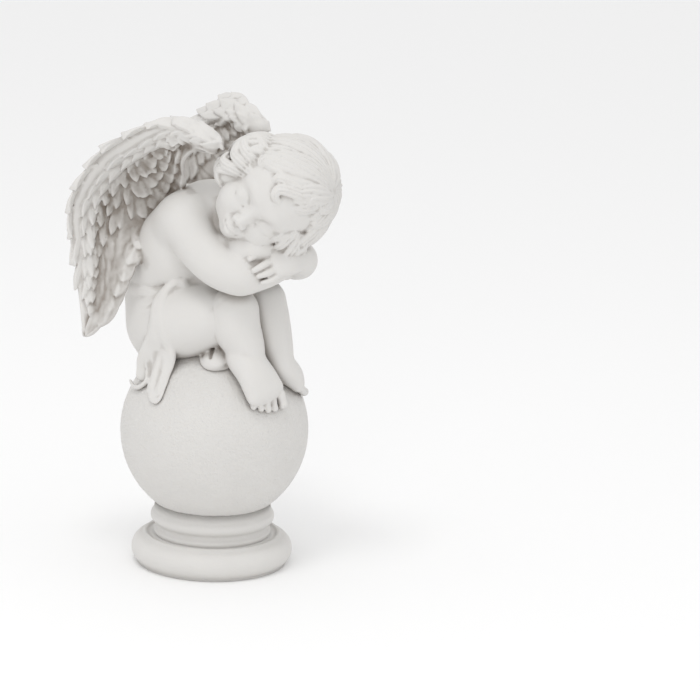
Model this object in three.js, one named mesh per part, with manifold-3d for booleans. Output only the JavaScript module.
// A cast resin cherub with folded wings, asleep on its folded arms, sitting on a ball that stands on a round
// moulded plinth. Three castings: the cherub with its hair, cloth and wings, the ball, and the plinth.
// Millimetres, +Z up. The cherub faces -Y, its left hand side is +X, and the origin is the centre of the
// plinth's flat underside.
import * as THREE from "three";
import { mergeVertices } from "three/addons/utils/BufferGeometryUtils.js";
import Module from "manifold-3d";

const wasm = await Module();
wasm.setup();

// Driving dimensions
const BALL_RADIUS = 75;
const BALL_HEIGHT = 109; // centre of the ball above the ground
const JOINT_GAP = 0.3; // glue line between two castings
const FOOT_RADIUS = 64.5; // widest part of the plinth
const COLLAR_RADIUS = 49.5;
const COLLAR_TOP = 47;
const LEFT_WING_LIFT = 7;
const LEFT_WING_TURN = 8; // degrees
const LEAN = 2; // degrees that the figure leans back and to its left on the ball
const STONE = { color: 0xe9e7e4, roughness: 0.75, metalness: 0 };

const BALL_CENTRE = new THREE.Vector3(0, 0, BALL_HEIGHT);
const LEAN_AXIS = new THREE.Vector3(-0.788, -0.573, 0.226).normalize();
const RIGHT = -1;
const LEFT = 1;

const v = (x, y, z) => new THREE.Vector3(x, y, z);
const lerp = THREE.MathUtils.lerp;
const rad = THREE.MathUtils.degToRad;

// A three.js geometry as a solid that can be joined and cut, with its faces turned to point out
function solid(geometry) {
  const bare = geometry.clone();
  bare.deleteAttribute("normal");
  bare.deleteAttribute("uv");
  const merged = mergeVertices(bare, 1e-4);
  const corners = new Uint32Array(merged.index.array);
  const corner = (n) => new THREE.Vector3().fromBufferAttribute(merged.attributes.position, corners[n]);
  let volume = 0;
  for (let n = 0; n < corners.length; n += 3) volume += corner(n).dot(corner(n + 1).cross(corner(n + 2)));
  return new wasm.Manifold(
    new wasm.Mesh({
      numProp: 3,
      vertProperties: new Float32Array(merged.attributes.position.array),
      triVerts: volume < 0 ? corners.reverse() : corners,
    }),
  );
}

// The outer skin of a solid: small pockets closed in where its forms meet are filled
function outerSkin(triangles, pointCount) {
  const skinOf = Array.from({ length: pointCount }, (_, n) => n);
  const root = (n) => {
    while (skinOf[n] !== n) n = skinOf[n] = skinOf[skinOf[n]];
    return n;
  };
  for (let i = 0; i < triangles.length; i += 3) {
    skinOf[root(triangles[i])] = root(triangles[i + 1]);
    skinOf[root(triangles[i + 2])] = root(triangles[i + 1]);
  }
  const sizes = new Map();
  for (let i = 0; i < triangles.length; i += 3) {
    const skin = root(triangles[i]);
    sizes.set(skin, (sizes.get(skin) ?? 0) + 1);
  }
  const [largest] = [...sizes].sort((a, b) => b[1] - a[1])[0];
  return triangles.filter((_, i) => root(triangles[i - (i % 3)]) === largest);
}

function geometryOf(manifold) {
  const mesh = manifold.getMesh();
  const kept = outerSkin(mesh.triVerts, mesh.vertProperties.length / 3);
  const geometry = new THREE.BufferGeometry();
  geometry.setAttribute("position", new THREE.BufferAttribute(mesh.vertProperties, 3));
  geometry.setIndex(new THREE.BufferAttribute(kept, 1));
  geometry.computeVertexNormals();
  return geometry;
}

const joined = (solids) => solids.reduce((whole, piece) => whole.add(piece));

// A skin over rings of points, closed by a point at each end
function loft(rings, firstPole, lastPole) {
  const sides = rings[0].length;
  const points = [firstPole, ...rings.flat(), lastPole];
  const faces = [];
  const at = (ring, side) => 1 + ring * sides + (side % sides);
  for (let side = 0; side < sides; side++) {
    faces.push(0, at(0, side + 1), at(0, side));
    faces.push(points.length - 1, at(rings.length - 1, side), at(rings.length - 1, side + 1));
    for (let ring = 0; ring + 1 < rings.length; ring++) {
      faces.push(at(ring, side), at(ring, side + 1), at(ring + 1, side + 1));
      faces.push(at(ring, side), at(ring + 1, side + 1), at(ring + 1, side));
    }
  }
  const geometry = new THREE.BufferGeometry().setFromPoints(points);
  geometry.setIndex(faces);
  return solid(geometry);
}

// A rounded form along a curve. A station is [x, y, z, half width, half thickness], and the width runs
// along wide.
function form(stations, { wide = v(1, 0, 0), sides = 10, steps = 6, blunt = 0.7 } = {}) {
  const spine = new THREE.CatmullRomCurve3(stations.map(([x, y, z]) => v(x, y, z)), false, "centripetal");
  const last = stations.length - 1;
  const sizeAt = (t, k) => {
    const i = Math.min(Math.floor(t * last), last - 1);
    const size = (n) => stations[n][k] ?? stations[n][3];
    return lerp(size(i), size(i + 1), THREE.MathUtils.smoothstep(t * last - i, 0, 1) * 0.5 + (t * last - i) * 0.5);
  };
  const ringAt = (centre, tangent, halfWidth, halfThickness) => {
    const across = wide.clone().addScaledVector(tangent, -wide.dot(tangent)).normalize();
    const through = tangent.clone().cross(across);
    return Array.from({ length: sides }, (_, n) => {
      const angle = (2 * Math.PI * n) / sides;
      return centre
        .clone()
        .addScaledVector(across, halfWidth * Math.cos(angle))
        .addScaledVector(through, halfThickness * Math.sin(angle));
    });
  };
  const rings = [];
  const cap = (t, outward) => {
    const tangent = spine.getTangent(t);
    const reach = Math.min(sizeAt(t, 3), sizeAt(t, 4)) * blunt * outward;
    const centre = spine.getPoint(t).addScaledVector(tangent, reach * 0.7);
    const ring = ringAt(centre, tangent, sizeAt(t, 3) * 0.7, sizeAt(t, 4) * 0.7);
    return { ring, pole: spine.getPoint(t).addScaledVector(tangent, reach) };
  };
  const start = cap(0, -1);
  const end = cap(1, 1);
  rings.push(start.ring);
  for (let step = 0; step <= steps; step++) {
    const t = step / steps;
    rings.push(ringAt(spine.getPoint(t), spine.getTangent(t), sizeAt(t, 3), sizeAt(t, 4)));
  }
  rings.push(end.ring);
  return loft(rings, start.pole, end.pole);
}

function ellipsoid(centre, radii, { wide = 12, high = 8 } = {}) {
  const geometry = new THREE.SphereGeometry(1, wide, high);
  geometry.scale(...radii);
  geometry.translate(...centre);
  return solid(geometry);
}

function sphere(radius) {
  const geometry = new THREE.SphereGeometry(radius, 24, 12);
  geometry.rotateX(Math.PI / 2);
  geometry.translate(0, 0, BALL_HEIGHT);
  return solid(geometry);
}

// A point above the ball, from a point near it
function overBall(x, y, z, lift) {
  return BALL_CENTRE.clone().add(v(x, y, z).sub(BALL_CENTRE).setLength(BALL_RADIUS + lift));
}

// Body
const SPINE = [
  [0, 36, 182, 38, 28],
  [0, 41, 204, 39, 31],
  [0, 41, 226, 37, 31],
  [0, 33, 250, 37, 29],
  [0, 20, 272, 37, 25],
  [0, 6, 288, 29, 19],
];
const NECK = [
  [0, 4, 288, 18],
  [3, -34, 294, 17],
];

function torso() {
  const chest = ellipsoid([0, -30, 270], [28, 27, 22], { wide: 8, high: 5 });
  const underChin = ellipsoid([-8, -50, 262], [22, 18, 17], { wide: 8, high: 5 });
  const lap = ellipsoid([0, -6, 236], [26, 38, 30], { wide: 8, high: 5 });
  return joined([form(SPINE, { sides: 11, steps: 6 }), form(NECK, { sides: 8, steps: 1 }), chest, underChin, lap]);
}

function thigh(side) {
  return form(
    [
      [side * 20, 33, 194, 30],
      [side * 26, 8, 200, 29],
      [side * 23, -17, 207, 23],
    ],
    { sides: 9, steps: 3 },
  );
}

const CALVES = {
  [RIGHT]: [
    [-21, -37, 213, 20],
    [-22, -38, 201, 20.5],
    [-21, -45, 187, 17],
    [-20, -52, 172, 12.5],
  ],
  [LEFT]: [
    [17, -36, 214, 19],
    [14, -43, 200, 18],
    [11, -51, 184, 15.5],
    [9, -59, 167, 12],
  ],
};

// A foot lies on the ball from its heel to its toes
const FEET = {
  [RIGHT]: { heel: [-21, -44, 178], toes: [-18.5, -64, 151], across: v(-0.94, 0.32, 0.12) },
  [LEFT]: { heel: [7, -62, 168], toes: [27, -68, 153], across: v(0.45, 0.72, 0.53) },
};
const TOES = 5;

function foot(side) {
  const { heel, toes, across } = FEET[side];
  const heelPoint = overBall(...heel, 10);
  const arch = overBall(lerp(heel[0], toes[0], 0.5), lerp(heel[1], toes[1], 0.5), lerp(heel[2], toes[2], 0.5), 10);
  const pad = overBall(...toes, 6.5);
  const pieces = [
    form([[...heelPoint, 12, 11], [...arch, 13.5, 9.5], [...pad, 15.5, 6.5]], { wide: across, sides: 8, steps: 2 }),
  ];
  const forward = pad.clone().sub(arch).normalize();
  for (let toe = 0; toe < TOES; toe++) {
    const big = toe === 0;
    const radius = big ? 4.6 : 3.4 - toe * 0.12;
    const aside = big ? -11.5 : -4.4 + 5.6 * (toe - 1);
    const reach = big ? 6 : 6.5 - 0.9 * (toe - 1);
    const root = pad.clone().addScaledVector(across, aside);
    const tip = root.clone().addScaledVector(forward, reach + radius);
    const tipOnBall = overBall(...tip, radius + 0.6);
    pieces.push(form([[...root, radius], [...tipOnBall, radius]], { sides: 4, steps: 1, wide: across }));
  }
  return joined(pieces);
}

// Folded arms: each forearm lies across to the other elbow, and the left one is on top
const ARMS = {
  [RIGHT]: {
    upper: [[-26, 9, 283, 17], [-35, -14, 265, 16.5], [-36.5, -37, 251, 15.8], [-32, -53, 245.5, 15]],
    fore: [[-31, -54, 245, 15], [-14, -64, 247.5, 13], [10, -68, 251, 9.5]],
    palm: [[11, -67, 248, 9, 6], [19, -62, 244, 10, 5.5]],
    wide: v(0, -0.45, 0.89),
    fingers: [
      [[21, -60, 249], [31, -50, 244]],
      [[22, -60, 244], [32, -51, 239]],
      [[22, -61, 239], [31, -53, 235]],
    ],
  },
  [LEFT]: {
    upper: [[26, 9, 283, 17], [36, -20, 266, 16], [37, -42, 254, 15], [33, -58, 248, 14.5]],
    fore: [[34, -59, 247, 14.5], [20, -71, 251, 12.5], [5, -79, 256, 9.5]],
    palm: [[2, -78, 256, 10, 9], [-8, -79, 257.5, 13, 8.5], [-17, -74.5, 257, 13.5, 6.5]],
    wide: v(0.135, 0.59, 0.796),
    fingers: [
      [[-14.6, -66.5, 267], [-24.1, -59.9, 263.8]],
      [[-19, -69.6, 262], [-35.5, -65.1, 260]],
      [[-20, -74.8, 257.4], [-36.3, -69.7, 251.8]],
      [[-20, -78.4, 251.7], [-33.8, -72.1, 247.2]],
      [[-17.5, -80.6, 247.6], [-31.4, -74, 242]],
    ],
  },
};
const FINGER_ROOT = 3.4; // radius
const FINGER_TIP = 2.7;

function arm(side) {
  const { upper, fore, palm, wide, fingers } = ARMS[side];
  return joined([
    form(upper, { sides: 9, steps: 3 }),
    form(fore, { sides: 8, steps: 2, wide: v(0, 0, 1) }),
    form(palm, { sides: 6, steps: palm.length - 1, wide }),
    ...fingers.map(([root, tip]) => form([[...root, FINGER_ROOT], [...tip, FINGER_TIP]], { sides: 4, steps: 1, wide })),
  ]);
}

// Head, made upright with the face to -Y, then laid over on the arms
const HEAD_CENTRE = v(-3, -64, 303);
const FACE_TOWARDS = v(-0.962, -0.23, -0.146);
const CROWN_TOWARDS = v(0.113, -0.826, 0.557);
const SKULL = { centre: [0, 5, 9], radii: [36, 41, 37] };

function headMatrix() {
  const up = CROWN_TOWARDS.clone().normalize();
  const back = FACE_TOWARDS.clone().negate().addScaledVector(up, FACE_TOWARDS.dot(up)).normalize();
  const left = back.clone().cross(up);
  return new THREE.Matrix4().makeBasis(left, back, up).setPosition(HEAD_CENTRE);
}

// A direction from the middle of the skull: lon runs from the face to the left ear, lat from the ears up
function directionOf({ lon, lat }) {
  return v(Math.cos(rad(lat)) * Math.sin(rad(lon)), -Math.cos(rad(lat)) * Math.cos(rad(lon)), Math.sin(rad(lat)));
}

function onSkull(direction, lift) {
  const [a, b, c] = SKULL.radii;
  const { x, y, z } = direction.clone().normalize();
  return v((a + lift) * x, (b + lift) * y, (c + lift) * z).add(v(...SKULL.centre));
}

function face() {
  const pieces = [
    ellipsoid(SKULL.centre, SKULL.radii, { wide: 11, high: 7 }),
    ellipsoid([0, -9, -14], [29, 28, 27], { wide: 11, high: 7 }),
    form([[0, -38, -4, 3.4], [0, -42, -13, 4.6, 4.6]], { sides: 6, steps: 1 }),
    form([[-6, -37, -25, 2.6], [0, -39.5, -24, 3.4], [6, -37, -25, 2.6]], { sides: 6, steps: 2, wide: v(0, 0, 1) }),
    ellipsoid([0, -32, -32], [9, 6.5, 6.5], { wide: 7, high: 5 }),
  ];
  for (const side of [RIGHT, LEFT]) {
    pieces.push(ellipsoid([side * 14.5, -21, -18], [15, 14, 14], { wide: 8, high: 5 }));
    pieces.push(ellipsoid([side * 15, -31.5, -3], [7.5, 4, 4.2], { wide: 7, high: 4 }));
  }
  return joined(pieces);
}

// The hair is one cap of locks that fan out from the whorl, high on the left, to the hairline round the head
const WHORL = { lon: 98, lat: 56 };
const LOCKS = 15;
const HAIRLINE = [
  { lon: -150, lat: -22 },
  { lon: -115, lat: -18 },
  { lon: -80, lat: -12 },
  { lon: -58, lat: 8 },
  { lon: -30, lat: 23 },
  { lon: 10, lat: 28 },
  { lon: 48, lat: 36 },
  { lon: 66, lat: 8 },
  { lon: 84, lat: -24 },
  { lon: 120, lat: -26 },
  { lon: 165, lat: -28 },
  { lon: 210, lat: -22 },
].map(directionOf);
const LOCK_HEIGHT = 5;
const GROOVE_HEIGHT = 2;

// A direction on the way from the whorl, at 0, to the hairline, at 1, as a share of the way round it
function alongLock(around, way) {
  const place = around * (HAIRLINE.length - 1);
  const i = Math.min(Math.floor(place), HAIRLINE.length - 2);
  const end = HAIRLINE[i].clone().lerp(HAIRLINE[i + 1], place - i).normalize();
  return directionOf(WHORL).multiplyScalar(1 - way).addScaledVector(end, way);
}

function hair() {
  const sides = LOCKS * 2;
  const ring = (way, height) =>
    Array.from({ length: sides }, (_, n) => {
      const ridge = n % 2 === 0;
      const reach = way * (ridge ? 1.05 : 0.95);
      return onSkull(alongLock(n / sides, reach), height * (ridge ? LOCK_HEIGHT : GROOVE_HEIGHT));
    });
  const rings = [ring(0.16, 0.5), ring(0.45, 0.8), ring(0.75, 1), ring(0.97, 0.9), ring(1.02, -1.5)];
  return loft(rings, onSkull(directionOf(WHORL), 1), v(...SKULL.centre));
}

// Curls that stand proud of the cap: over the forehead, at the temples and over the hand
const CURLS = [
  { from: { lon: -56, lat: 34 }, to: { lon: -84, lat: 4 }, lift: 9, half: 7 },
  { from: { lon: -62, lat: 8 }, to: { lon: -72, lat: -30 }, lift: 8, half: 7 },
  { from: { lon: -112, lat: 16 }, to: { lon: -98, lat: -24 }, lift: 9, half: 7 },
  { from: { lon: -40, lat: 44 }, to: { lon: -74, lat: 12 }, lift: 5, half: 6 },
  { from: { lon: 30, lat: 44 }, to: { lon: -4, lat: 20 }, lift: 5, half: 5.5 },
  { from: { lon: 66, lat: 36 }, to: { lon: 30, lat: 22 }, lift: 5, half: 6.5 },
  { from: { lon: 92, lat: 20 }, to: { lon: 64, lat: -6 }, lift: 4, half: 7 },
  { from: { lon: 84, lat: -14 }, to: { lon: 66, lat: -34 }, lift: 3, half: 5.5 },
];

function curl({ from, to, lift, half }) {
  const [start, end] = [directionOf(from), directionOf(to)];
  const middle = start.clone().add(end);
  return form(
    [
      [...onSkull(start, 0), half * 0.6],
      [...onSkull(middle, lift), half, half * 0.6],
      [...onSkull(end, lift * 0.7), half * 0.5],
    ],
    { sides: 5, steps: 2, wide: start.clone().cross(end) },
  );
}

function head() {
  const overRightEar = ellipsoid([-33, 3, -2], [15, 19, 25], { wide: 8, high: 5 });
  const overLeftEar = ellipsoid([31, 6, -4], [11, 20, 24], { wide: 8, high: 5 });
  return joined([face(), hair(), overRightEar, overLeftEar, ...CURLS.map(curl)]).transform(headMatrix().elements);
}

// The fall of cloth from the right hip to the ball: the two ends of each cross-section, the back one first
const FALL = [
  [v(-38, 15, 234), v(-35, 3, 237)],
  [v(-43, 21, 221), v(-44, 8, 226)],
  [v(-47, 25, 207), v(-49, 9, 209)],
  [v(-51, 28, 191), v(-51, 7, 190)],
  [overBall(-55, 28, 175, 13), overBall(-52, 2, 174, 8)],
  [overBall(-62, 29, 158, 8), overBall(-60, -2, 158, 4)],
  [overBall(-61, 37, 150, 7), overBall(-68, -1, 146, 3)],
];
const FALL_THICKNESS = 5;
const FOLD_DEPTH = 3;
const FOLDS = 3;

function fall() {
  const columns = FOLDS * 2;
  const rings = FALL.map(([back, front], n) => {
    const along = FALL[Math.min(n + 1, FALL.length - 1)][0].clone().sub(FALL[Math.max(n - 1, 0)][0]);
    const across = front.clone().sub(back);
    const outward = across.clone().cross(along).normalize();
    const side = (lift) =>
      Array.from({ length: columns + 1 }, (_, k) => {
        const fold = FOLD_DEPTH * (k % 2 ? 1 : -1) * Math.min(1, n / 2);
        return back.clone().addScaledVector(across, k / columns).addScaledVector(outward, lift + fold);
      });
    return [...side(FALL_THICKNESS / 2), ...side(-FALL_THICKNESS / 2).reverse()];
  });
  const middle = ([back, front]) => back.clone().add(front).multiplyScalar(0.5);
  return loft(rings, middle(FALL[0]), middle(FALL[FALL.length - 1]));
}

// Cloth: a wrap round the hips, the fall from the right hip to the ball, and a lobe under the knees
function cloth() {
  const wrap = form(
    [
      [0, 35, 180, 41, 30],
      [0, 40, 196, 41.5, 33],
      [0, 41, 209, 39.5, 32.5],
    ],
    { sides: 10, steps: 2, blunt: 0.1 },
  );
  const lobe = form(
    [
      [-10, -22, 186, 12, 8],
      [...overBall(-33, -30, 176, 5), 11, 7],
    ],
    { sides: 8, steps: 2, wide: v(0.5, -0.8, 0) },
  );
  return joined([wrap, fall(), lobe]);
}

// A wing is one carved sheet between a leading and a trailing edge: s runs along it from the front end to the
// tip and t across it. Its hollow side faces outward and forward. Both wings are shaped as a right one.
const LEADING = edgeCurve([
  v(-29, -33, 344),
  v(-36, -5, 357),
  v(-46, 22, 353),
  v(-64, 55, 329),
  v(-78, 71, 294),
  v(-82, 67, 247),
  v(-84, 63, 192),
]);
const LOWER_TRAILING = [v(-26, 38, 272), v(-46, 42, 254), v(-57, 45, 230), v(-70, 50, 206), v(-83, 62, 191)];
const TRAILING = {
  [RIGHT]: edgeCurve([
    v(-28, -28, 336),
    v(-32, -10, 337),
    v(-31, 3, 326),
    v(-20, 10, 309),
    v(-14, 24, 290),
    ...LOWER_TRAILING,
  ]),
  [LEFT]: edgeCurve([
    v(-28, -28, 336),
    v(-28, -17, 330),
    v(-27, -9, 321),
    v(-21, -4, 305),
    v(-14, 12, 288),
    ...LOWER_TRAILING,
  ]),
};
const WING_HOLLOW = 11;
const FEATHERS_ALONG = 8;
const FEATHER_ROWS = [0.25, 0.46, 0.69]; // where each row of feathers ends, as a share of the width
const TIP_REACH = 0.04; // how far a feather's tip passes the row's line, as a share of the width
const EDGE_REACH = 0.11; // how far the tips at the leading edge stand out

function edgeCurve(points) {
  return new THREE.CatmullRomCurve3(points, false, "chordal");
}

function wingPoint(side, s, t, lift) {
  const edge = LEADING.getPointAt(s);
  const chord = TRAILING[side].getPointAt(s).sub(edge);
  const outward = LEADING.getTangentAt(s).cross(chord).normalize();
  const hollow = WING_HOLLOW * 4 * t * (1 - t) * Math.sin(Math.PI * Math.min(1, s * 1.1));
  return edge.addScaledVector(chord, t).addScaledVector(outward, lift - hollow);
}

// Across the wing: the thick leading edge, then rows of feathers that each end in a step
function wingSection(s, atTip) {
  const bone = lerp(8, 2.6, s);
  const blade = lerp(2.4, 1.3, s);
  const shift = atTip ? TIP_REACH : -TIP_REACH;
  const lines = [
    [-0.02, bone * 0.6],
    [0.1, bone],
  ];
  FEATHER_ROWS.forEach((end, row) => {
    lines.push([end + shift, row === 0 ? bone * 0.75 : blade * 2]);
    lines.push([end + shift + 0.02, blade * 0.8]);
  });
  return lines;
}

function wing(side) {
  const point = (s, t, lift) => wingPoint(side, s, t, lift);
  const rings = [];
  for (let feather = 0; feather <= FEATHERS_ALONG; feather++) {
    for (const atTip of [true, false]) {
      const s = (feather + (atTip ? 0.1 : 0.3)) / (FEATHERS_ALONG + 0.5);
      const lines = wingSection(s, atTip);
      rings.push([
        point(s, atTip ? -EDGE_REACH : -EDGE_REACH / 2, 0),
        ...lines.map(([t, lift]) => point(s, t, lift)),
        point(s, atTip ? 1 + TIP_REACH : 1 - TIP_REACH, 0),
        ...lines.reverse().map(([t, lift]) => point(s, t, -lift)),
      ]);
    }
  }
  const shoulder = form([[-9, 14, 282, 13, 9], [-13, 20, 297, 11, 6]], { sides: 8, steps: 1 });
  const knuckle = form(
    [
      [...point(0.01, 0.2, 1), 9, 6.5],
      [...point(0.1, 0.1, 1), 9.5, 8],
      [...point(0.24, 0.04, 0), 6, 7],
    ],
    { sides: 8, steps: 3 },
  );
  return joined([loft(rings, point(0, 0.4, 0), point(1, 0.5, 0)), shoulder, knuckle]);
}

// The left wing stands a little higher than the right one and is turned further back
function wings() {
  const left = wing(LEFT).mirror([1, 0, 0]).rotate([0, 0, LEFT_WING_TURN]).translate([0, 0, LEFT_WING_LIFT]);
  return wing(RIGHT).add(left);
}

function cherub() {
  const body = [torso(), head(), cloth(), wings()];
  for (const side of [RIGHT, LEFT]) {
    body.push(thigh(side), form(CALVES[side], { sides: 8, steps: 3 }), foot(side), arm(side));
  }
  return joined(body).transform(leanMatrix().elements).subtract(sphere(BALL_RADIUS + JOINT_GAP));
}

// The figure is modelled upright, then turned round the middle of the ball
function leanMatrix() {
  const turn = new THREE.Matrix4().makeRotationAxis(LEAN_AXIS, rad(LEAN));
  const there = new THREE.Matrix4().makeTranslation(BALL_CENTRE);
  const back = new THREE.Matrix4().makeTranslation(BALL_CENTRE.clone().negate());
  return there.multiply(turn).multiply(back);
}

// Plinth: a turned foot with a torus, a bead and a collar that cups the ball
function plinth() {
  const profile = [
    [0, 0],
    [60, 0],
    [FOOT_RADIUS, 7],
    [FOOT_RADIUS, 16],
    [59.5, 22.5],
    [51, 24.5],
    [47, 22.5],
    [47, 27],
    [44.6, 31],
    [47.5, 32.5],
    [COLLAR_RADIUS, 35],
    [COLLAR_RADIUS, 39],
    [45.5, COLLAR_TOP],
    [0, COLLAR_TOP],
  ];
  const geometry = new THREE.LatheGeometry(profile.map(([r, z]) => new THREE.Vector2(r, z)), 24);
  geometry.rotateX(Math.PI / 2);
  return solid(geometry).subtract(sphere(BALL_RADIUS + JOINT_GAP));
}

const statue = new THREE.Group();
statue.name = "cherub_on_ball";
const pieces = { cherub: cherub(), ball: sphere(BALL_RADIUS), plinth: plinth() };
for (const [name, piece] of Object.entries(pieces)) {
  const mesh = new THREE.Mesh(geometryOf(piece), new THREE.MeshStandardMaterial(STONE));
  mesh.name = name;
  statue.add(mesh);
}

export default statue;
